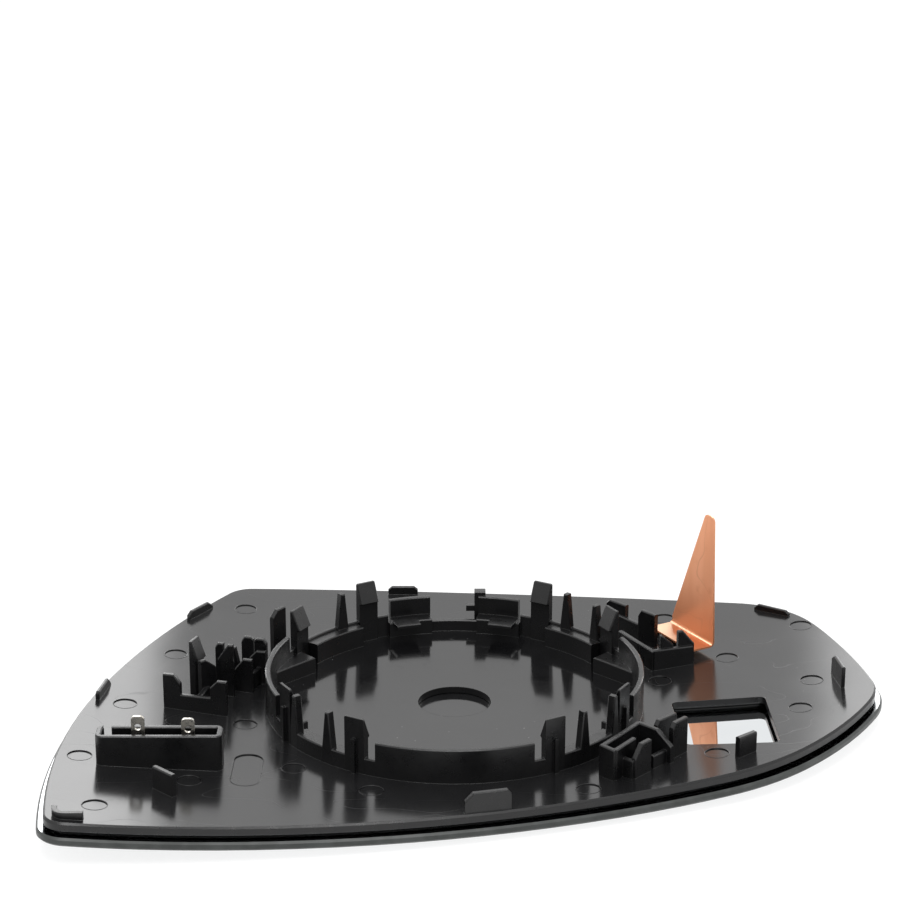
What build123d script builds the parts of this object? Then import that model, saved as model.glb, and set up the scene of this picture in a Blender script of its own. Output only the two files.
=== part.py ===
from build123d import *
from math import cos, radians, sin, sqrt
import os

# Heated door mirror glass on its snap-on backing plate, lying face down
# Origin: axis of the centre hole, on the rear face of the plate. +Z points away from the glass. Millimetres

# Curved layers, from the reflecting face up to the plate's rear face, with glue on both sides of the pad
glass_radius = 1260.0
glass_thickness = 2.0
pad_thickness = 1.05
glue_thickness = 0.15
plate_thickness = 1.6
lip_depth = 0.35

# Corners of the glass outline
front_left = (-90.0, -76.4)
front_right = (70.4, -43.4)
right_tip = (104.7, -2.2)
back_right = (88.8, 54.0)
back_left = (-59.0, 68.9)

# Each corner with the bulge of the side that follows it and with its own rounding
glass_outline = [
    (front_left, 8.5, 6.6),
    (front_right, 3.7, 66.0),
    (right_tip, 2.8, 21.0),
    (back_right, 6.6, 28.0),
    (back_left, 14.7, 10.0),
]

# How far each layer stays inside the one before it, and the lip around the plate's underside
flange_inset = 1.6
lip_width = 2.0
pad_inset = 0.6
film_window_margin = 2.0
glass_edge_bevel = 0.5
flange_edge_bevel = 0.5
edge_bevel = 0.25

# Openings in the plate
hole_radius = 8.9
window_corners = [(52.5, -2.9), (75.3, -1.9), (75.9, -28.6), (53.9, -27.6)]
window_rounding = 1.6

# Ejector-pin marks, shallow round recesses, and one long oval mark
pin_mark_radius = 2.85
mark_depth = 0.2
oval_mark_place = (-47.4, -41.3)
oval_mark_size = (17.8, 6.8)
pin_marks = [
    (-79.4, -6.7), (-70.4, 24.3), (-55.0, 54.1), (-86.0, -37.6), (-49.8, -15.5),
    (-79.0, -64.0), (-59.9, -48.3), (-36.9, -39.5), (-18.7, -51.0), (89.5, 39.4), (68.7, 22.4),
    (50.9, 10.2), (87.8, 6.2), (54.9, 48.1), (30.0, -50.5), (60.6, -33.0), (83.0, -9.5),
]

# Snap ring: a stepped round wall whose top leans, higher at the back by the lean and lower at the front
ring_centre = (0.0, -1.4)
ring_radius = 45.8
ring_wall = 1.3
ring_lean = 1.1
low_wall_height = 4.8
tall_wall_height = 9.4
side_wall_half_angle = 23.0
front_wall_half_angle = 23.3
back_gap_height = 1.8
ledge_reach = 3.0
ledge_height = 4.2
ledge_start_angle = 34.0
ledge_end_angle = 56.0

# Tongues inside the ring: depth from the wall's outer face and angle of the two ends, the bend and the tip
tongue_start = (0.4, 9.0)
tongue_bend = (4.4, 18.5)
tongue_tip = (6.9, 27.0)
tongue_end = (0.4, 30.0)
tongue_height = 3.5

# Two panels behind the ring, each with a low block and an overhanging shelf in front of it
# The angles are measured from the back of the ring, to both sides
back_panel_setback = 1.4
back_panel_radius = ring_radius + back_panel_setback
back_panel_thickness = 1.5
back_panel_angles = (7.6, 20.5)
back_panel_height = 7.4
back_block_reach = 1.2
back_block_angles = (7.6, 22.5)
back_block_height = 2.7
back_shelf_reach = 4.8
back_shelf_angles = (12.5, 21.5)
back_shelf_height = 3.2
back_shelf_thickness = 1.0

# Post behind the right back panel, with a nub on its side
post_setback = 2.8
post_place = (6.7, ring_centre[1] + ring_radius + post_setback)
post_width = 2.9
post_depth = 2.6
post_height = 9.6
nub_place = (4.6, post_place[1])
nub_size = 1.5
nub_height = 4.8

# Snap hooks of the ring and the tapered guide blades beside them
hook_angles = (30, 60, 120, 150, 210, 240, 300, 330)
hook_width = 5.2
hook_stem = 1.9
hook_barb = 0.9
hook_height = 14.5
hook_barb_height = 9.6
hook_tip = 0.6
hook_barb_drop = 0.5
hook_rib_width = 1.0
hook_rib_depth = 0.8
blade_angles = (37, 50, 130, 215, 230, 311, 325)
blade_width = 3.4
blade_thickness = 2.0
blade_height = 13.6
blade_taper = (1.1, 10.0)
outer_blade = ((-44.5, 25.5), 52, 4.6, 13.0, (1.6, 1.6), (0, 0))

# Connector shroud around the two terminals
shroud_place = (-67.3, -39.5)
shroud_length = 28.8
shroud_depth = 6.4
shroud_wall = 1.3
shroud_height = 8.1
shroud_rounding = 1.6
shroud_notch = 2.0
shroud_port_width = 5.0
shroud_port_height = 4.2

# Heater terminals: spade blades with an eyelet and a foot on the heating film
terminal_spacing = 11.4
terminal_offset = 0.9
terminal_width = 3.0
terminal_thickness = 0.8
terminal_height = 11.5
terminal_eyelet = 0.8
terminal_eyelet_drop = 2.6
terminal_rounding = 0.9
terminal_foot = 3.0
terminal_clearance = 0.5

# Upright tabs on the plate: place, direction, length, thickness, height and the cuts at the two top ends
square = (0, 0)
tabs = [
    ((7.2, -61.6), 14, 10.6, 1.4, 4.8, (2.0, 1.9), (0.8, 1.0)),
    ((-85.4, -0.8), 81, 9.7, 1.0, 2.2, (0.4, 0.5), (1.6, 1.5)),
    ((-66.7, 50.1), 58, 9.8, 1.0, 2.1, (1.2, 0.8), (1.7, 1.2)),
    ((-13.7, 66.3), 0, 7.9, 1.0, 2.2, (1.0, 0.8), (1.0, 0.8)),
    ((83.2, 48.5), -34, 9.9, 1.0, 1.5, (1.0, 0.8), (0.9, 0.7)),
    ((94.0, 4.7), -83, 9.2, 0.9, 5.5, (2.0, 1.2), square),
    ((67.1, -34.2), 40, 5.6, 1.4, 5.0, square, square),
    ((-64.6, -55.2), -44, 6.6, 1.4, 5.4, square, square),
]
corner_tab_middle = (-85.0, -70.5)
corner_tab_inset = 2.0
corner_tab_height = 1.6
corner_tab_thickness = 1.2
corner_tab_size = (9.7, 7.5)

# Brackets: a place, a direction, and upright walls in the bracket's own directions
# Each wall has its middle, its turn, its length, its height and the cuts at its two top ends
bracket_wall = 1.3

left_bracket_place = (-62.1, -9.0)
left_bracket_angle = -14.2
left_bracket_hook = (-3.8, 9.6)
left_bracket_hook_turn = -8
left_bracket_hook_width = 4.3
left_bracket_hook_stem = 1.7
left_bracket_hook_barb = 0.7
left_bracket_walls = [
    (0.0, 0.0, 0, 15.9, 4.1, square, square),
    (-5.8, 0.0, 0, 4.3, 8.8, square, (1.6, 2.0)),
    (5.95, 0.0, 0, 4.0, 8.8, (1.7, 1.7), square),
    (0.6, 3.8, 90, 7.5, 3.9, square, square),
    (0.5, 7.1, 60, 4.5, 11.0, square, (3.0, 2.5)),
    (3.8, 11.6, 4, 3.8, 13.4, (2.6, 3.8), square),
    (0.3, 17.3, 0, 2.0, 11.0, (0.6, 0.8), square),
    (4.8, 16.3, 0, 1.8, 11.0, square, (0.9, 4.0)),
    (5.5, 23.4, 0, 3.0, 11.0, (0.7, 1.0), (0.5, 0.5)),
    (8.8, 23.6, 0, 3.0, 10.8, (0.5, 0.5), (0.7, 1.0)),
    (7.1, 15.2, 0, 4.3, 8.6, (2.1, 2.6), square),
    (8.8, 21.2, 0, 4.0, 8.6, (1.7, 1.8), square),
    (8.7, 18.3, 80, 7.4, 4.4, square, square),
]

spring_bracket_place = (46.1, 23.3)
spring_bracket_angle = -60.7
spring_bracket_walls = [
    (0.0, 0.0, 0, 15.6, 5.2, square, square),
    (8.5, 5.0, 78, 10.4, 5.2, square, square),
    (7.3, 3.8, 78, 3.4, 8.6, square, (3.0, 2.6)),
    (8.4, 8.8, 78, 4.3, 9.0, square, (3.0, 3.6)),
    (-12.8, 6.7, 8.5, 18.3, 4.6, square, square),
    (-18.8, 6.2, 15, 6.5, 7.6, (0.8, 0.8), square),
    (-6.4, 7.4, 14, 5.6, 9.0, (0.8, 1.4), square),
]

spare_bracket_place = (37.9, -36.9)
spare_bracket_angle = -126.1
spare_bracket_walls = [
    (0.0, 0.0, 0, 15.6, 7.6, square, square),
    (8.1, 2.0, 79, 4.6, 7.6, square, square),
    (4.5, 3.9, 0, 8.0, 7.6, square, square),
    (2.6, 7.3, -6, 5.8, 7.9, square, (2.4, 3.0)),
    (5.4, 5.6, 85, 3.4, 4.6, square, square),
    (-7.2, 5.0, 82, 10.2, 7.4, square, (4.5, 3.0)),
    (-11.2, 8.7, -7, 5.3, 8.8, square, (0.8, 1.2)),
    (-13.2, 3.9, -10, 6.7, 7.8, square, (0.8, 1.2)),
    (-4.6, 8.0, -8, 6.4, 3.2, square, square),
]

# Copper leaf spring, in the directions of its bracket
spring_sheet = 0.45
spring_fold_start = -10.9
spring_fold_end = 7.4
spring_fold_distance = 18.5
spring_bend_radius = 1.0
spring_base_clearance = 1.55
spring_base_width = 7.1
spring_leaf_height = 34.3
spring_leaf_lean = 1.5
spring_shoulder = 2.2
spring_tip_width = 3.6
spring_tip_rounding = 1.6
spring_seat_size = (7.0, 3.0)
spring_seat_offset = (-5.0, 13.2)

# Sizes that follow from the ones above
under_radius = glass_radius - glass_thickness - pad_thickness - 2 * glue_thickness
plate_radius = under_radius - plate_thickness
lip_radius = under_radius + lip_depth
root_depth = plate_thickness / 2
reach = 60.0


def outline(inset):
    """Flat face of the glass outline, moved inward."""
    sides = []
    for index, (corner, bulge, rounding) in enumerate(glass_outline):
        start = Vector(*corner)
        end = Vector(*glass_outline[(index + 1) % len(glass_outline)][0])
        along = (end - start).normalized()
        middle = (start + end) * 0.5 + Vector(along.Y, -along.X) * bulge
        sides.append(ThreePointArc(start, middle, end))
    face = make_face(sides)
    for corner, bulge, rounding in glass_outline:
        face = fillet(face.vertices().sort_by_distance(Vector(*corner))[0], rounding)
    arcs = []
    for edge in face.edges():
        points = [edge @ share for share in (0, 0.5, 1)]
        arcs.append(ThreePointArc(*[p + (edge.arc_center - p).normalized() * inset for p in points]))
    return make_face(arcs)


def column(face):
    """Upright column through the whole object over a flat face."""
    return Pos(0, 0, -reach) * extrude(face, 2 * reach, dir=(0, 0, 1))


def ball(radius):
    """Solid ball about the centre of curvature of the glass."""
    return Pos(0, 0, plate_radius) * Rot(90, 0, 0) * Sphere(radius)


def layer(face, outer_radius, inner_radius):
    """Curved sheet over a flat face, between two concentric spheres."""
    return (column(face) & ball(outer_radius)) - ball(inner_radius)


def curved_faces(sheet):
    """The two spherical faces of a curved sheet, the lower one first."""
    return sheet.faces().filter_by(GeomType.SPHERE).sort_by(Axis.Z)


def seat(x, y):
    """Height of the plate's rear face at a place."""
    return plate_radius - sqrt(plate_radius**2 - x**2 - y**2)


def upright(points, width):
    """Sheet of a given width, centred on the XZ plane, with a side view given by points."""
    corners = [p for p, q in zip(points, points[1:] + points[:1]) if p != q]
    return extrude(Plane.XZ * make_face(Polyline(corners, close=True)), width / 2, both=True)


def bevelled(sheet):
    """Upright sheet with the edges of its top bevelled on both sides."""
    sides = sheet.faces().sort_by(Axis.Y)
    edges = sides[0].edges() + sides[-1].edges()
    return chamfer([edge for edge in edges if edge.bounding_box().min.Z > 0], edge_bevel)


def fin(place, angle, length, thickness, height, start_cut=square, end_cut=square):
    """Wall standing on the plate, its length along an angle, with its top ends cut off."""
    half = length / 2
    points = [
        (-half, -reach),
        (half, -reach),
        (half, height - end_cut[1]),
        (half - end_cut[0], height),
        (start_cut[0] - half, height),
        (-half, height - start_cut[1]),
    ]
    return Pos(*place, seat(*place)) * Rot(0, 0, angle) * bevelled(upright(points, thickness))


def hook(place, facing, width, stem, barb, rise=0):
    """Snap hook with a sloped lead-in above its barb; its back stands at the given place."""
    points = [
        (0, -reach),
        (stem, -reach),
        (stem, hook_barb_height - hook_barb_drop),
        (stem + barb, hook_barb_height),
        (hook_tip, hook_height),
        (0, hook_height),
    ]
    return Pos(*place, seat(*place) + rise) * Rot(0, 0, facing) * bevelled(upright(points, width))


def around(radius, angle):
    """Place at a radius and an angle from the axis of the ring."""
    return ring_centre[0] + radius * cos(radians(angle)), ring_centre[1] + radius * sin(radians(angle))


def ring_rise(angle):
    """Extra height of the ring at an angle, from the lean of its top."""
    return ring_lean * sin(radians(angle))


def sector(inner, outer, start, end, height):
    """Piece of a round wall between two angles, with a bevelled top at a height above the plate."""
    size = end - start
    edges = [
        CenterArc(ring_centre, outer, start, size),
        Line(around(outer, end), around(inner, end)),
        CenterArc(ring_centre, inner, start, size),
        Line(around(inner, start), around(outer, start)),
    ]
    base = seat(ring_radius, 0) + ring_rise((start + end) / 2)
    wall = extrude(make_face(edges), reach + height, dir=(0, 0, 1))
    wall = chamfer(wall.faces().sort_by(Axis.Z)[-1].edges().filter_by(GeomType.CIRCLE), edge_bevel)
    return Pos(0, 0, base - reach) * wall


def ring_walls():
    """Round wall of the snap ring: low all round, taller at the sides and the front, lowest at the back."""
    block_start, block_end = back_block_angles
    steps = [
        (-side_wall_half_angle, tall_wall_height),
        (side_wall_half_angle, low_wall_height),
        (90 - block_end, back_block_height),
        (90 - block_start, back_gap_height),
        (90 + block_start, back_block_height),
        (90 + block_end, low_wall_height),
        (180 - side_wall_half_angle, tall_wall_height),
        (180 + side_wall_half_angle, low_wall_height),
        (270 - front_wall_half_angle, tall_wall_height),
        (270 + front_wall_half_angle, low_wall_height),
        (360 - side_wall_half_angle, None),
    ]
    inner = ring_radius - ring_wall
    return [sector(inner, ring_radius, start, end, height)
            for (start, height), (end, following) in zip(steps, steps[1:])]


def ring_ledges():
    """Steps inside the ring: a ledge and a tongue in each quarter."""
    pieces = []
    middle = ring_radius - ring_wall / 2
    inner = ring_radius - ring_wall
    for side, turn in ((1, 0), (-1, 180), (1, 180), (-1, 0)):
        start, end = sorted(turn + side * angle for angle in (ledge_start_angle, ledge_end_angle))
        pieces.append(sector(inner - ledge_reach, middle, start, end, ledge_height))
        points = (tongue_start, tongue_bend, tongue_tip, tongue_end)
        first, bend, tip, last = [around(ring_radius - depth, turn + side * angle) for depth, angle in points]
        face = make_face([ThreePointArc(first, bend, tip), Line(tip, last), Line(last, first)])
        top = seat(*bend) + tongue_height + ring_rise(turn + side * tongue_tip[1])
        tongue = extrude(face, top + reach, dir=(0, 0, 1))
        tongue = chamfer(tongue.faces().sort_by(Axis.Z)[-1].edges(), edge_bevel)
        pieces.append(Pos(0, 0, -reach) * tongue)
    return pieces


def back_panels():
    """Two panels behind the ring, with the block and the shelf in front of each."""
    pieces = []
    inner = ring_radius - ring_wall
    panel_back = back_panel_radius + back_panel_thickness
    block_front = inner - back_block_reach
    block_back = back_panel_radius + edge_bevel
    shelf_tip = inner - back_shelf_reach
    shelf_under = back_shelf_height - back_shelf_thickness
    for side in (1, -1):
        start, end = sorted(90 + side * angle for angle in back_panel_angles)
        pieces.append(sector(back_panel_radius, panel_back, start, end, back_panel_height))
        start, end = sorted(90 + side * angle for angle in back_block_angles)
        pieces.append(sector(block_front, block_back, start, end, back_block_height))
        start, end = sorted(90 + side * angle for angle in back_shelf_angles)
        shelf = sector(shelf_tip, inner, start, end, back_shelf_height)
        below = sector(shelf_tip - ring_wall, ring_radius, start - 5, end + 5, shelf_under)
        pieces.append(shelf - below)
    return pieces


def back_post():
    """Post behind a back panel and the nub on its side."""
    post = fin(post_place, 0, post_width, post_depth, post_height)
    nub = Pos(*nub_place, seat(*nub_place) + nub_height) * Box(2 * nub_size, nub_size, nub_size)
    return [post, nub]


def ring_hooks():
    """Snap hooks, each with a stiffening rib on its back, and the guide blades."""
    pieces = []
    for angle in hook_angles:
        place = around(ring_radius, angle)
        rise = ring_rise(angle)
        pieces.append(hook(place, angle + 180, hook_width, hook_stem, hook_barb, rise))
        pieces.append(fin(place, angle, 2 * hook_rib_depth, hook_rib_width, hook_barb_height + rise))
    for angle in blade_angles:
        middle = around(ring_radius - blade_thickness / 2, angle)
        height = blade_height + ring_rise(angle)
        pieces.append(fin(middle, angle + 90, blade_width, blade_thickness, height, blade_taper, blade_taper))
    place, angle, length, height, start_cut, end_cut = outer_blade
    pieces.append(fin(place, angle, length, bracket_wall, height, start_cut, end_cut))
    return pieces


def in_bracket(place, angle, u, v):
    """Place on the plate of a point given in a bracket's own directions."""
    c = cos(radians(angle))
    s = sin(radians(angle))
    return place[0] + u * c - v * s, place[1] + u * s + v * c


def bracket(place, angle, walls):
    """Upright walls of one bracket."""
    pieces = []
    for u, v, turn, length, height, start_cut, end_cut in walls:
        middle = in_bracket(place, angle, u, v)
        pieces.append(fin(middle, angle + turn, length, bracket_wall, height, start_cut, end_cut))
    return pieces


def rim_pieces():
    """Straight tabs on the plate and the low tab that follows the front left corner."""
    pieces = [fin(*tab) for tab in tabs]
    outside = outline(flange_inset + corner_tab_inset)
    inside = outline(flange_inset + corner_tab_inset + corner_tab_thickness)
    corner = Pos(*front_left) * Rectangle(2 * corner_tab_size[0], 2 * corner_tab_size[1])
    top = seat(*corner_tab_middle) + corner_tab_height
    strip = extrude((outside - inside) & corner, top + reach, dir=(0, 0, 1))
    pieces.append(Pos(0, 0, -reach) * strip)
    return pieces


def terminal_places():
    """Middles of the two terminals on the plate."""
    x, y = shroud_place
    left = x + terminal_offset - terminal_spacing / 2
    return (left, y), (left + terminal_spacing, y)


def shroud():
    """Open-topped connector shroud with a notch at the back and a port behind each terminal."""
    outside = RectangleRounded(shroud_length, shroud_depth, shroud_rounding)
    inside = offset(outside, amount=-shroud_wall)
    base = seat(*shroud_place)
    wall = extrude(outside - inside, reach + shroud_height, dir=(0, 0, 1))
    wall = chamfer(wall.faces().sort_by(Axis.Z)[-1].edges(), edge_bevel)
    notch_middle = shroud_wall - shroud_length / 2 + shroud_notch / 2
    back = shroud_depth / 2
    notch = Pos(notch_middle, back, reach) * Box(shroud_notch, 2 * shroud_wall, 2 * shroud_height)
    wall = Pos(*shroud_place, base - reach) * (wall - notch)
    for x, y in terminal_places():
        port = Box(shroud_port_width, 2 * shroud_wall, 2 * shroud_port_height)
        wall = wall - Pos(x, y + back, base) * port
    return wall


def spring_base():
    """Height of the underside of the copper spring's base."""
    middle = (spring_fold_start + spring_fold_end) / 2
    fold = in_bracket(spring_bracket_place, spring_bracket_angle, middle, spring_fold_distance)
    return seat(*fold) + spring_base_clearance


def spring_seat():
    """Block in the bracket that carries the base of the copper spring."""
    middle = in_bracket(spring_bracket_place, spring_bracket_angle, *spring_seat_offset)
    block = Pos(0, 0, -reach / 2) * Box(*spring_seat_size, reach)
    return Pos(*middle, spring_base()) * Rot(0, 0, spring_bracket_angle) * block


def face_marks():
    """Shallow marks sunk in the rear face: the round ones of the ejector pins and the long one."""
    oval = Pos(*oval_mark_place) * Rot(0, 0, 90) * SlotOverall(*oval_mark_size)
    marks = [layer(oval, plate_radius + mark_depth, plate_radius - root_depth)]
    for x, y in pin_marks:
        normal = (-x, -y, plate_radius - seat(x, y))
        marks.append(Plane((x, y, seat(x, y)), z_dir=normal) * Cylinder(pin_mark_radius, 2 * mark_depth))
    return marks


def backing_plate():
    """Black moulding: curved plate with everything that stands on its rear face."""
    flange = layer(outline(flange_inset), lip_radius, plate_radius)
    flange = chamfer(curved_faces(flange)[-1].edges(), flange_edge_bevel)
    recess = layer(outline(flange_inset + lip_width), lip_radius + root_depth, under_radius)
    left_hook_place = in_bracket(left_bracket_place, left_bracket_angle, *left_bracket_hook)
    left_hook_facing = left_bracket_angle + left_bracket_hook_turn
    rear = ring_walls() + ring_ledges() + ring_hooks() + back_panels() + back_post() + rim_pieces()
    rear += bracket(left_bracket_place, left_bracket_angle, left_bracket_walls)
    rear += bracket(spring_bracket_place, spring_bracket_angle, spring_bracket_walls)
    rear += bracket(spare_bracket_place, spare_bracket_angle, spare_bracket_walls)
    rear += [
        hook(left_hook_place, left_hook_facing, left_bracket_hook_width,
             left_bracket_hook_stem, left_bracket_hook_barb),
        shroud(),
        spring_seat(),
    ]
    standing = (Part() + rear) & ball(plate_radius + root_depth)
    plate = flange - recess + standing

    cuts = [column(Circle(hole_radius)), column(window_face())]
    slot_width = terminal_width + 2 * terminal_clearance
    slot_depth = terminal_foot + terminal_thickness / 2 + 2 * terminal_clearance
    for x, y in terminal_places():
        slot_middle = y + (terminal_foot - terminal_thickness / 2) / 2
        slot = Pos(x, slot_middle) * Rectangle(slot_width, slot_depth)
        cuts.append(layer(slot, under_radius + root_depth, plate_radius - root_depth))
    plate -= cuts
    for mark in face_marks():
        plate -= mark
    return plate


def window_face():
    """Flat face of the window in the plate."""
    face = make_face(Polyline(window_corners, close=True))
    return fillet(face.vertices(), window_rounding)


def film_window():
    """Flat face of the larger window, with square corners, in the heating film."""
    window = make_face(Polyline(window_corners, close=True))
    return offset(window, amount=film_window_margin, kind=Kind.INTERSECTION)


def heater_pad():
    """Heating film between the glass and the plate, open at the window."""
    face = outline(flange_inset + lip_width + pad_inset) - film_window()
    upper_radius = under_radius + glue_thickness
    return layer(face, upper_radius + pad_thickness, upper_radius)


def mirror_glass():
    """Convex glass with a bevelled ground edge."""
    glass = layer(outline(0), glass_radius, glass_radius - glass_thickness)
    rims = [edge for face in curved_faces(glass) for edge in face.edges()]
    return chamfer(rims, glass_edge_bevel)


def terminal(place):
    """Spade terminal: an upright blade with an eyelet, and a foot that lies on the heating film."""
    x, y = place
    top = seat(x, y) + terminal_height
    half = terminal_width / 2
    blade = upright([(-half, -reach), (half, -reach), (half, 0), (-half, 0)], terminal_thickness)
    blade = fillet(blade.edges().filter_by(Axis.Y).group_by(Axis.Z)[-1], terminal_rounding)
    eyelet = Rot(90, 0, 0) * Cylinder(terminal_eyelet, 2 * terminal_thickness)
    blade = Pos(x, y, top) * (blade - Pos(0, 0, -terminal_eyelet_drop) * eyelet)
    foot = Pos(x, y + terminal_foot / 2) * Rectangle(terminal_width, terminal_foot)
    return (blade & ball(under_radius)) + layer(foot, under_radius, under_radius - terminal_thickness)


def copper_spring():
    """Copper sheet with a flat base, folded up into a tall leaf that narrows to its tip."""
    fold = spring_fold_distance
    edge = fold - spring_base_width
    profile = make_face(Polyline(
        (edge, 0),
        (fold, 0),
        (fold, spring_leaf_height),
        (fold - spring_sheet, spring_leaf_height),
        (fold - spring_sheet, spring_sheet),
        (edge, spring_sheet),
        close=True,
    ))
    inner_corner = Vector(fold - spring_sheet, spring_sheet)
    profile = fillet(profile.vertices().sort_by_distance(inner_corner)[0], spring_bend_radius)
    outer_corner = Vector(fold, 0)
    profile = fillet(profile.vertices().sort_by_distance(outer_corner)[0], spring_bend_radius + spring_sheet)
    length = spring_fold_end - spring_fold_start
    sheet = Pos(spring_fold_start, 0, 0) * extrude(Plane.YZ * profile, length, dir=(1, 0, 0))

    tip = spring_fold_end - spring_leaf_lean
    leaf = upright([
        (spring_fold_start, -spring_sheet),
        (spring_fold_end, -spring_sheet),
        (tip, spring_leaf_height),
        (tip - spring_tip_width, spring_leaf_height),
        (spring_fold_start, spring_shoulder),
    ], 2 * reach)
    leaf = fillet(leaf.edges().filter_by(Axis.Y).group_by(Axis.Z)[-1], spring_tip_rounding)
    return Pos(*spring_bracket_place, spring_base()) * Rot(0, 0, spring_bracket_angle) * (sheet & leaf)


os.makedirs("parts", exist_ok=True)
left_place, right_place = terminal_places()
export_step(mirror_glass(), "parts/mirror_glass.step")
export_step(heater_pad(), "parts/heater_pad.step")
export_step(backing_plate(), "parts/backing_plate.step")
export_step(terminal(left_place), "parts/terminal_left.step")
export_step(terminal(right_place), "parts/terminal_right.step")
export_step(copper_spring(), "parts/copper_spring.step")
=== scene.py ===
from math import cos, pi, radians, sin, sqrt

import bpy
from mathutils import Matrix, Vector


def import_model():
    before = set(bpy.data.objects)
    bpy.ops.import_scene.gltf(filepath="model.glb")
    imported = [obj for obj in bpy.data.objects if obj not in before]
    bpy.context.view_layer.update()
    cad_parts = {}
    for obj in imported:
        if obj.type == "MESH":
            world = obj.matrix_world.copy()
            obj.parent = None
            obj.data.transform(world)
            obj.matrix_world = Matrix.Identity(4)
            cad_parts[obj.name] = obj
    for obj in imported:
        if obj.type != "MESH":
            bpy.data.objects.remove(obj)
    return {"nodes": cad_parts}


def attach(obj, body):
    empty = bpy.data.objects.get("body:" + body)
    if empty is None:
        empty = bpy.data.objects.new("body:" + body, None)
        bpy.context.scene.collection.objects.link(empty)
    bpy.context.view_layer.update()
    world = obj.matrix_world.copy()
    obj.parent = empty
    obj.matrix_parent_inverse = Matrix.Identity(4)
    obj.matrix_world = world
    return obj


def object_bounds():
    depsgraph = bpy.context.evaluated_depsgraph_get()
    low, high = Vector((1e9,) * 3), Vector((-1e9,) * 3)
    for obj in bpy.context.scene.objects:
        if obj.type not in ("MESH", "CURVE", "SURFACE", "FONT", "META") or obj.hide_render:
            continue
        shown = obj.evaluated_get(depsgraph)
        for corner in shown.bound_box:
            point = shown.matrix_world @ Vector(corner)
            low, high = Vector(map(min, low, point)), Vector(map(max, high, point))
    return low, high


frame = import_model()
cad_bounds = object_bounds()

# Metres, in the frame of the part: +Z up, the origin in the centre hole on the rear face of the plate
PLATE_RADIUS = 1.25505
PLATE_CENTRE = (0.0, 0.0, PLATE_RADIUS)
RING_CENTRE = (0.0, -0.0014, 0.0)
EDGE_RADIUS = 0.0002
LOWEST_Z = cad_bounds[0][2]

# Camera of the photograph
CAMERA_PLACE = (-0.0011, -0.559, 0.2512)
CAMERA_TILT = 71.55
CAMERA_LENS = 100.0
CAMERA_SENSOR = 36.0

# Studio: a pale floor, a card behind the part that shows in its gloss, a soft lamp and the world's levels
FLOOR_SIZE = 6.0
FLOOR_COLOUR = (0.35, 0.35, 0.35, 1)
FLOOR_GLOW = 0.72
CARD_PLACE = (0.025, 0.25)
CARD_WIDTH = 0.45
CARD_HEIGHT = 0.5
CARD_MIDDLE_LEVEL = 1.18
CARD_LEFT_LEVEL = 4.1
CARD_RIGHT_LEVEL = 3.6
CARD_LEFT_FADE = (-0.123, -0.111)
CARD_RIGHT_FADE = (0.081, 0.1)
LAMP_PLACE = (0.0, -0.42, 1.05)
LAMP_SIZE = 0.6
LAMP_POWER = 5.0
FRONT_HEIGHTS = (0.1, 0.38)
FRONT_LEVELS = (0.25, 1.05)
BEHIND_FADE = (-0.3, 0.3)
BEHIND_LEVEL = 1.0
WHITE = (1, 1, 1, 1)

# Ejector-pin marks and the long mark on the plate, each outlined by a fine rim
RIM_WIDTH = 0.0002
RIM_HEIGHT = 0.00006
RIM_SECTION = ((-1, -1), (-0.5, 1), (0.5, 1), (1, -1))
MARK_STEPS = 64
PIN_MARK_RADIUS = 0.00285
LONG_MARK_PLACE = (-0.0474, -0.0413)
LONG_MARK_RADIUS = 0.0034
LONG_MARK_STRAIGHT = 0.0055
PIN_MARKS = [
    (-0.0794, -0.0067), (-0.0704, 0.0243), (-0.055, 0.0541), (-0.086, -0.0376), (-0.0498, -0.0155),
    (-0.079, -0.064), (-0.0599, -0.0483), (-0.0369, -0.0395), (-0.0187, -0.051), (0.0895, 0.0394),
    (0.0687, 0.0224), (0.0509, 0.0102), (0.0878, 0.0062), (0.0549, 0.0481), (0.03, -0.0505),
    (0.0606, -0.033), (0.083, -0.0095),
]

# Black plastic: colours of the walls, the polished face and the dust; roughness of each finish
WALL_COLOURS = ((0.0035, 0.0035, 0.0038, 1), (0.0055, 0.0055, 0.006, 1))
FACE_COLOURS = ((0.0075, 0.0075, 0.008, 1), (0.011, 0.011, 0.0115, 1))
DUST_COLOUR = (0.3, 0.3, 0.3, 1)
POLISHED_ROUGHNESS = (0.09, 0.13)
SATIN_ROUGHNESS = (0.26, 0.36)
OUTSIDE_RING_ROUGHER = 0.06
HAIRLINE_ROUGHER = 0.12
GRAIN_STRENGTH = 0.12
GRAIN_DEPTH = 0.0002

# Heating film, mirror, copper and tin: the two ends of each colour, and roughness
PLASTIC_IOR = 1.5
GLASS_IOR = 1.5
FILM_COLOURS = ((0.006, 0.006, 0.0065, 1), (0.01, 0.01, 0.0105, 1))
FILM_ROUGHNESS = (0.07, 0.13)
SILVER_COLOURS = ((0.64, 0.66, 0.67, 1), (0.655, 0.675, 0.685, 1))
GROUND_EDGE_COLOURS = ((0.035, 0.039, 0.037, 1), (0.06, 0.066, 0.063, 1))
GROUND_ROUGHNESS = 0.38
SILVER_ROUGHNESS = 0.02
COPPER_COLOURS = ((0.90, 0.42, 0.235, 1), (0.95, 0.47, 0.275, 1))
# Colour of the tarnish patches, also used for the painted shade towards the foot of the leaf
TARNISH_AND_SHADE_COLOUR = (0.68, 0.27, 0.13, 1)
SCRATCH_COLOUR = (0.6, 0.25, 0.13, 1)
# Paler copper of the flat base: painted light, the base drawn lighter than the leaf of the same sheet
COPPER_BASE_PAINTED_LIGHT_COLOUR = (0.9, 0.56, 0.37, 1)
COPPER_ROUGHNESS = (0.5, 0.58)
COPPER_BASE_SMOOTHER = 0.2
TIN_COLOURS = ((0.62, 0.6, 0.55, 1), (0.48, 0.45, 0.4, 1))
TIN_ROUGHNESS = (0.22, 0.38)


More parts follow.
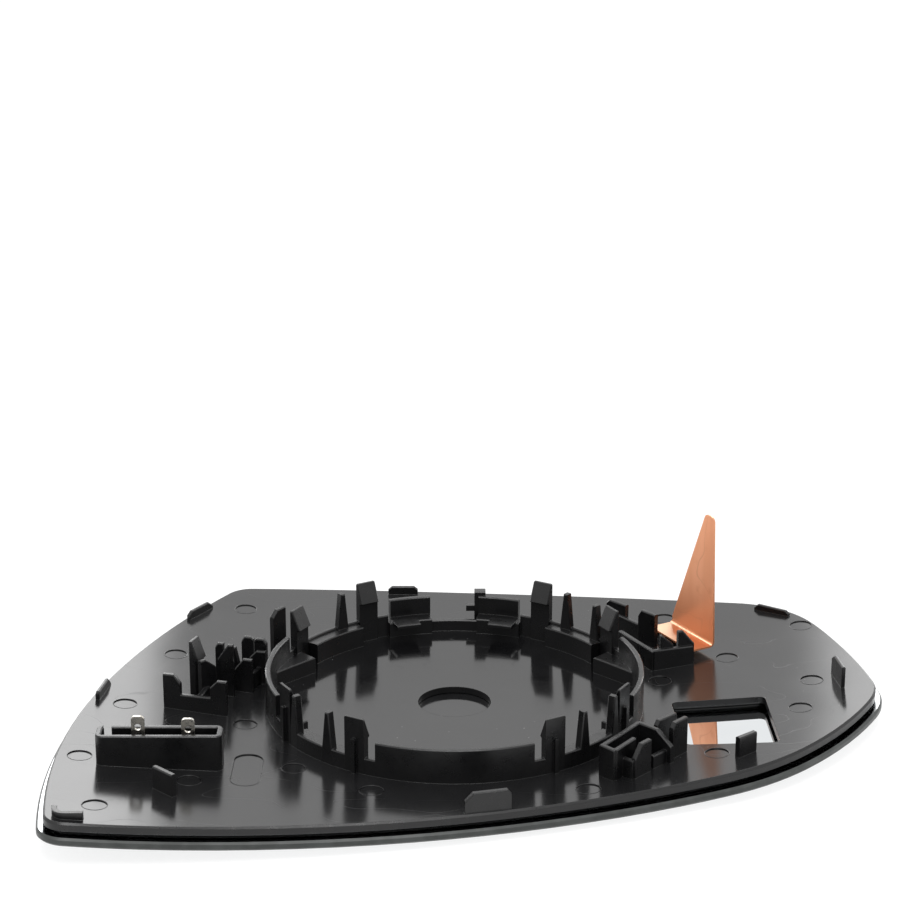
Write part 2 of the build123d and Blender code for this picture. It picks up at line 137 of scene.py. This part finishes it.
class Nodes:
    """Small helper that adds nodes to one tree and links them."""

    def __init__(self, tree):
        self.tree = tree
        tree.nodes.clear()

    def add(self, kind, inputs=None, **settings):
        node = self.tree.nodes.new(kind)
        for name, value in settings.items():
            setattr(node, name, value)
        for name, value in (inputs or {}).items():
            self.set(node.inputs[name], value)
        return node

    def set(self, socket, value):
        if isinstance(value, bpy.types.NodeSocket):
            self.tree.links.new(value, socket)
        else:
            socket.default_value = value

    def math(self, operation, first, second=0.0):
        node = self.add("ShaderNodeMath", operation=operation)
        self.set(node.inputs[0], first)
        self.set(node.inputs[1], second)
        return node.outputs[0]

    def ramp(self, value, low, high, bottom=0.0, top=1.0):
        """Value carried smoothly from low..high to bottom..top."""
        inputs = {"Value": value, "From Min": low, "From Max": high, "To Min": bottom, "To Max": top}
        return self.add("ShaderNodeMapRange", inputs, interpolation_type="SMOOTHSTEP").outputs["Result"]

    def mix(self, share, first, second):
        """Colour between two colours."""
        node = self.add("ShaderNodeMix", data_type="RGBA")
        self.set(node.inputs["Factor"], share)
        self.set(node.inputs["A"], first)
        self.set(node.inputs["B"], second)
        return node.outputs["Result"]

    def noise(self, scale, detail=3.0, stretch=(1, 1, 1)):
        """Noise over the part's own coordinates, in features per metre."""
        place = self.add("ShaderNodeTexCoord").outputs["Object"]
        place = self.add("ShaderNodeMapping", {"Vector": place, "Scale": stretch}).outputs["Vector"]
        texture = self.add("ShaderNodeTexNoise", {"Vector": place, "Scale": scale, "Detail": detail})
        return texture.outputs["Fac"]

    def specks(self, scale, low, high):
        """Small round spots, one in each cell, 1 inside a spot."""
        place = self.add("ShaderNodeTexCoord").outputs["Object"]
        cells = self.add("ShaderNodeTexVoronoi", {"Vector": place, "Scale": scale})
        return self.ramp(cells.outputs["Distance"], low, high, 1.0, 0.0)

    def hairlines(self, scale, width, stretch):
        """Thin wandering lines, 1 on a line."""
        middle = self.math("SUBTRACT", self.noise(scale, 1.0, stretch), 0.5)
        return self.ramp(self.math("ABSOLUTE", middle), 0.0, width, 1.0, 0.0)

    def height(self):
        """Height above the curved rear face of the plate."""
        place = self.add("ShaderNodeNewGeometry").outputs["Position"]
        distance = self.add("ShaderNodeVectorMath", operation="DISTANCE")
        self.set(distance.inputs[0], place)
        self.set(distance.inputs[1], PLATE_CENTRE)
        return self.math("SUBTRACT", PLATE_RADIUS, distance.outputs["Value"])

    def from_axis(self, centre):
        """Distance from an upright axis."""
        place = self.add("ShaderNodeNewGeometry").outputs["Position"]
        flat = self.add("ShaderNodeVectorMath", {"Vector": place}, operation="MULTIPLY")
        flat.inputs[1].default_value = (1, 1, 0)
        distance = self.add("ShaderNodeVectorMath", operation="DISTANCE")
        self.set(distance.inputs[0], flat.outputs[0])
        self.set(distance.inputs[1], centre)
        return distance.outputs["Value"]

    def facing(self):
        """How squarely a surface faces along the plate's radius: 1 on curved faces, 0 on upright walls."""
        geometry = self.add("ShaderNodeNewGeometry")
        across = self.add("ShaderNodeVectorMath", operation="SUBTRACT")
        self.set(across.inputs[0], PLATE_CENTRE)
        self.set(across.inputs[1], geometry.outputs["Position"])
        radius = self.add("ShaderNodeVectorMath", {"Vector": across.outputs[0]}, operation="NORMALIZE")
        dot = self.add("ShaderNodeVectorMath", operation="DOT_PRODUCT")
        self.set(dot.inputs[0], radius.outputs[0])
        self.set(dot.inputs[1], geometry.outputs["True Normal"])
        return self.math("ABSOLUTE", dot.outputs["Value"])


def new_material(name):
    """Node material with a Principled shader; gives the material, its nodes and the shader."""
    material = bpy.data.materials.new(name)
    material.use_nodes = True
    nodes = Nodes(material.node_tree)
    shader = nodes.add("ShaderNodeBsdfPrincipled")
    nodes.add("ShaderNodeOutputMaterial", {"Surface": shader.outputs["BSDF"]})
    return material, nodes, shader


def set_shader(nodes, shader, **values):
    """Sets the shader's sockets by their names, written with underscores."""
    for name, value in values.items():
        nodes.set(shader.inputs[name.replace("_", " ")], value)


def black_plastic():
    """Moulded black plastic: polished and a little dusty on the curved face, satin on what stands on it."""
    material, nodes, shader = new_material("black_plastic")
    low = nodes.ramp(nodes.height(), 0.00008, 0.00022, 1.0, 0.0)
    polished = nodes.math("MULTIPLY", low, nodes.ramp(nodes.facing(), 0.93, 0.97))
    dusty = nodes.ramp(nodes.noise(20.0, 2.0), 0.48, 0.62)
    specks = nodes.math("MULTIPLY", nodes.specks(290.0, 0.02, 0.055), nodes.math("MULTIPLY", dusty, polished))
    lines = nodes.math("MULTIPLY", nodes.hairlines(26.0, 0.0025, (1, 2.5, 1)), polished)

    outside = nodes.ramp(nodes.from_axis(RING_CENTRE), 0.041, 0.047)
    smudges = nodes.ramp(nodes.noise(55.0, 4.0), 0.35, 0.75, *POLISHED_ROUGHNESS)
    smudges = nodes.math("ADD", smudges, nodes.math("MULTIPLY", outside, OUTSIDE_RING_ROUGHER))
    smudges = nodes.math("ADD", smudges, nodes.math("MULTIPLY", lines, HAIRLINE_ROUGHER))
    satin = nodes.ramp(nodes.noise(420.0, 3.0), 0.3, 0.7, *SATIN_ROUGHNESS)
    roughness = nodes.add("ShaderNodeMix", {"Factor": polished, "A": satin, "B": smudges})

    cloud = nodes.ramp(nodes.noise(90.0, 4.0), 0.3, 0.7)
    walls = nodes.mix(cloud, *WALL_COLOURS)
    face = nodes.mix(cloud, *FACE_COLOURS)
    colour = nodes.mix(nodes.math("MULTIPLY", polished, outside), walls, face)
    colour = nodes.mix(nodes.math("MULTIPLY", specks, 0.8), colour, DUST_COLOUR)
    grain = nodes.math("MULTIPLY", nodes.noise(2600.0, 2.0), nodes.math("SUBTRACT", 1.0, polished))
    edges = nodes.add("ShaderNodeBevel", {"Radius": EDGE_RADIUS}, samples=6).outputs["Normal"]
    bump = nodes.add("ShaderNodeBump", {"Height": grain, "Strength": GRAIN_STRENGTH, "Distance": GRAIN_DEPTH,
                                        "Normal": edges})
    set_shader(nodes, shader, Base_Color=colour, Roughness=roughness.outputs["Result"], IOR=PLASTIC_IOR,
               Normal=bump.outputs["Normal"])
    return material


def heating_film():
    """Glossy black film of the heater."""
    material, nodes, shader = new_material("heating_film")
    tone = nodes.ramp(nodes.noise(140.0, 3.0), 0.3, 0.7)
    set_shader(nodes, shader, Base_Color=nodes.mix(tone, *FILM_COLOURS),
               Roughness=nodes.ramp(tone, 0.0, 1.0, *FILM_ROUGHNESS), IOR=PLASTIC_IOR)
    return material


def mirror_glass():
    """Silvered faces and a ground, slightly green edge."""
    material, nodes, shader = new_material("mirror_glass")
    silvered = nodes.ramp(nodes.facing(), 0.86, 0.93)
    silver = nodes.mix(nodes.ramp(nodes.noise(60.0, 3.0), 0.3, 0.7), *SILVER_COLOURS)
    edge = nodes.mix(nodes.ramp(nodes.noise(260.0, 4.0), 0.35, 0.7), *GROUND_EDGE_COLOURS)
    roughness = nodes.ramp(silvered, 0.0, 1.0, GROUND_ROUGHNESS, SILVER_ROUGHNESS)
    set_shader(nodes, shader, Base_Color=nodes.mix(silvered, edge, silver), Metallic=silvered,
               Roughness=roughness, IOR=GLASS_IOR)
    return material


def copper():
    """Rolled copper sheet: painted light in a paler colour on its flat base, tarnished in patches, and
    painted shade darkening the leaf towards its foot.
    """
    material, nodes, shader = new_material("copper")
    flat = nodes.ramp(nodes.facing(), 0.6, 0.95)
    rolling = nodes.noise(240.0, 3.0, (1, 1, 0.12))
    patches = nodes.ramp(nodes.noise(75.0, 5.0), 0.5, 0.72)
    # Painted shade: the leaf's colour darkens towards its foot, where the bracket's dark reflection lies;
    # merged with the real tarnish patches below
    painted_foot_shade = nodes.ramp(nodes.height(), 0.005, 0.02, 0.9, 0.0)
    painted_foot_shade = nodes.math("MULTIPLY", painted_foot_shade, nodes.math("SUBTRACT", 1.0, flat))
    tarnish_and_foot_shade = nodes.math("MAXIMUM", patches, painted_foot_shade)
    lines = nodes.hairlines(60.0, 0.006, (1, 1, 1))
    bright = nodes.mix(nodes.ramp(rolling, 0.35, 0.65), *COPPER_COLOURS)
    colour = nodes.mix(tarnish_and_foot_shade, bright, TARNISH_AND_SHADE_COLOUR)
    colour = nodes.mix(nodes.math("MULTIPLY", lines, 0.35), colour, SCRATCH_COLOUR)
    # Painted light: the flat base gets a paler, brighter copper colour than the leaf
    colour = nodes.mix(flat, colour, COPPER_BASE_PAINTED_LIGHT_COLOUR)
    roughness = nodes.ramp(patches, 0.0, 1.0, *COPPER_ROUGHNESS)
    roughness = nodes.math("SUBTRACT", roughness, nodes.math("MULTIPLY", flat, COPPER_BASE_SMOOTHER))
    set_shader(nodes, shader, Base_Color=colour, Metallic=1.0, Roughness=roughness,
               Anisotropic=0.8, Anisotropic_Rotation=0.25)
    return material


def tinned_metal():
    """Tinned sheet of the terminals."""
    material, nodes, shader = new_material("tinned_metal")
    wear = nodes.noise(900.0, 4.0)
    colour = nodes.mix(nodes.ramp(wear, 0.35, 0.7), *TIN_COLOURS)
    set_shader(nodes, shader, Base_Color=colour, Metallic=1.0,
               Roughness=nodes.ramp(wear, 0.3, 0.7, *TIN_ROUGHNESS))
    return material


def dress(node, material):
    """Gives one CAD node its material."""
    mesh = frame["nodes"][node].data
    mesh.materials.clear()
    mesh.materials.append(material)


def on_plate(x, y):
    """Point of the plate's rear face and the direction square to it."""
    point = Vector((x, y, PLATE_RADIUS - sqrt(PLATE_RADIUS**2 - x * x - y * y)))
    return point, (Vector(PLATE_CENTRE) - point).normalized()


def mark_path(place, radius, straight):
    """Points around a mark: a circle, drawn out along Y by a straight part."""
    points = []
    for step in range(MARK_STEPS):
        angle = 2 * pi * (step + 0.5) / MARK_STEPS
        shift = straight if sin(angle) > 0 else -straight
        points.append((place[0] + radius * cos(angle), place[1] + radius * sin(angle) + shift))
    return points


def mark_rims(material):
    """Fine raised rims around the marks, as one piece."""
    paths = [mark_path(place, PIN_MARK_RADIUS, 0.0) for place in PIN_MARKS]
    paths.append(mark_path(LONG_MARK_PLACE, LONG_MARK_RADIUS, LONG_MARK_STRAIGHT))
    vertices = []
    faces = []
    for path in paths:
        first = len(vertices)
        count = len(path)
        for index, (x, y) in enumerate(path):
            point, normal = on_plate(x, y)
            following = on_plate(*path[(index + 1) % count])[0]
            side = normal.cross(following - point).normalized()
            for across, up in RIM_SECTION:
                vertices.append(point + side * across * RIM_WIDTH / 2 + normal * up * RIM_HEIGHT)
        for index in range(count):
            start = first + len(RIM_SECTION) * index
            end = first + len(RIM_SECTION) * ((index + 1) % count)
            for corner in range(len(RIM_SECTION) - 1):
                faces.append((start + corner, end + corner, end + corner + 1, start + corner + 1))
    mesh = bpy.data.meshes.new("mark_rims")
    mesh.from_pydata(vertices, [], faces)
    mesh.materials.append(material)
    rims = bpy.data.objects.new("mark_rims", mesh)
    bpy.context.scene.collection.objects.link(rims)
    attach(rims, "root")


def plane(name, width, depth, place, tilt, material):
    """Flat stage sheet about its middle."""
    half_width = width / 2
    half_depth = depth / 2
    mesh = bpy.data.meshes.new(name)
    corners = [(-half_width, -half_depth, 0), (half_width, -half_depth, 0),
               (half_width, half_depth, 0), (-half_width, half_depth, 0)]
    mesh.from_pydata(corners, [], [(0, 1, 2, 3)])
    mesh.materials.append(material)
    sheet = bpy.data.objects.new(name, mesh)
    sheet.location = place
    sheet.rotation_euler = (radians(tilt), 0, 0)
    bpy.context.scene.collection.objects.link(sheet)
    return sheet


def floor_material():
    """Pale floor that reads as white to the camera and in gloss, and keeps the shadow."""
    material = bpy.data.materials.new("floor")
    material.use_nodes = True
    nodes = Nodes(material.node_tree)
    light_path = nodes.add("ShaderNodeLightPath")
    seen = nodes.math("MAXIMUM", light_path.outputs["Is Camera Ray"], light_path.outputs["Is Glossy Ray"])
    seen = nodes.math("MAXIMUM", seen, light_path.outputs["Is Transmission Ray"])
    diffuse = nodes.add("ShaderNodeBsdfDiffuse", {"Color": FLOOR_COLOUR})
    glow = nodes.add("ShaderNodeEmission", {"Strength": nodes.math("MULTIPLY", seen, FLOOR_GLOW)})
    both = nodes.add("ShaderNodeAddShader")
    nodes.set(both.inputs[0], diffuse.outputs[0])
    nodes.set(both.inputs[1], glow.outputs[0])
    underside = nodes.add("ShaderNodeNewGeometry").outputs["Backfacing"]
    from_below = nodes.add("ShaderNodeMixShader", {"Fac": underside})
    nodes.set(from_below.inputs[1], both.outputs[0])
    nodes.set(from_below.inputs[2], nodes.add("ShaderNodeBsdfTransparent").outputs[0])
    nodes.add("ShaderNodeOutputMaterial", {"Surface": from_below.outputs[0]})
    return material


def card_material():
    """Lit card, dimmer in its middle."""
    material = bpy.data.materials.new("card")
    material.use_nodes = True
    nodes = Nodes(material.node_tree)
    place = nodes.add("ShaderNodeTexCoord").outputs["Object"]
    across = nodes.add("ShaderNodeSeparateXYZ", {"Vector": place}).outputs["X"]
    left = nodes.ramp(across, *CARD_LEFT_FADE, CARD_LEFT_LEVEL, CARD_MIDDLE_LEVEL)
    right = nodes.ramp(across, *CARD_RIGHT_FADE, 0.0, CARD_RIGHT_LEVEL - CARD_MIDDLE_LEVEL)
    level = nodes.math("ADD", left, right)
    glow = nodes.add("ShaderNodeEmission", {"Strength": level})
    nodes.add("ShaderNodeOutputMaterial", {"Surface": glow.outputs[0]})
    return material


def world():
    """White to the camera; a studio that is bright behind and above and dim in front for everything else."""
    scene_world = bpy.data.worlds.new("studio")
    bpy.context.scene.world = scene_world
    scene_world.use_nodes = True
    nodes = Nodes(scene_world.node_tree)
    direction = nodes.add("ShaderNodeTexCoord").outputs["Generated"]
    parts = nodes.add("ShaderNodeSeparateXYZ", {"Vector": direction})
    front = nodes.ramp(parts.outputs["Z"], *FRONT_HEIGHTS, *FRONT_LEVELS)
    behind = nodes.ramp(parts.outputs["Y"], *BEHIND_FADE)
    level = nodes.add("ShaderNodeMix", {"Factor": behind, "A": front, "B": BEHIND_LEVEL}).outputs["Result"]
    camera_ray = nodes.add("ShaderNodeLightPath").outputs["Is Camera Ray"]
    strength = nodes.math("MAXIMUM", level, camera_ray)
    background = nodes.add("ShaderNodeBackground", {"Color": WHITE, "Strength": strength})
    nodes.add("ShaderNodeOutputWorld", {"Surface": background.outputs[0]})


def lamp(name, place, size, power):
    """Soft square lamp aimed at the part."""
    data = bpy.data.lights.new(name, "AREA")
    data.shape = "SQUARE"
    data.size = size
    data.energy = power
    light = bpy.data.objects.new(name, data)
    light.location = place
    light.rotation_euler = Vector(place).to_track_quat("Z", "Y").to_euler()
    light.visible_camera = False
    bpy.context.scene.collection.objects.link(light)


def camera():
    """Camera at the photograph's place."""
    data = bpy.data.cameras.new("camera")
    data.lens = CAMERA_LENS
    data.sensor_width = CAMERA_SENSOR
    view = bpy.data.objects.new("camera", data)
    view.location = CAMERA_PLACE
    view.rotation_euler = (radians(CAMERA_TILT), 0, 0)
    bpy.context.scene.collection.objects.link(view)
    bpy.context.scene.camera = view


camera()
world()
lamp("top", LAMP_PLACE, LAMP_SIZE, LAMP_POWER)
plane("floor", FLOOR_SIZE, FLOOR_SIZE, (0, 0, LOWEST_Z), 0, floor_material())
card = plane("card", CARD_WIDTH, CARD_HEIGHT, (*CARD_PLACE, CARD_HEIGHT / 2 + LOWEST_Z), 90, card_material())
card.visible_camera = False
card.visible_diffuse = False
card.visible_shadow = False

plastic = black_plastic()
dress("backing_plate", plastic)
mark_rims(plastic)
dress("heater_pad", heating_film())
dress("mirror_glass", mirror_glass())
dress("copper_spring", copper())
terminals = tinned_metal()
dress("terminal_left", terminals)
dress("terminal_right", terminals)

bpy.context.scene.view_settings.view_transform = "Standard"
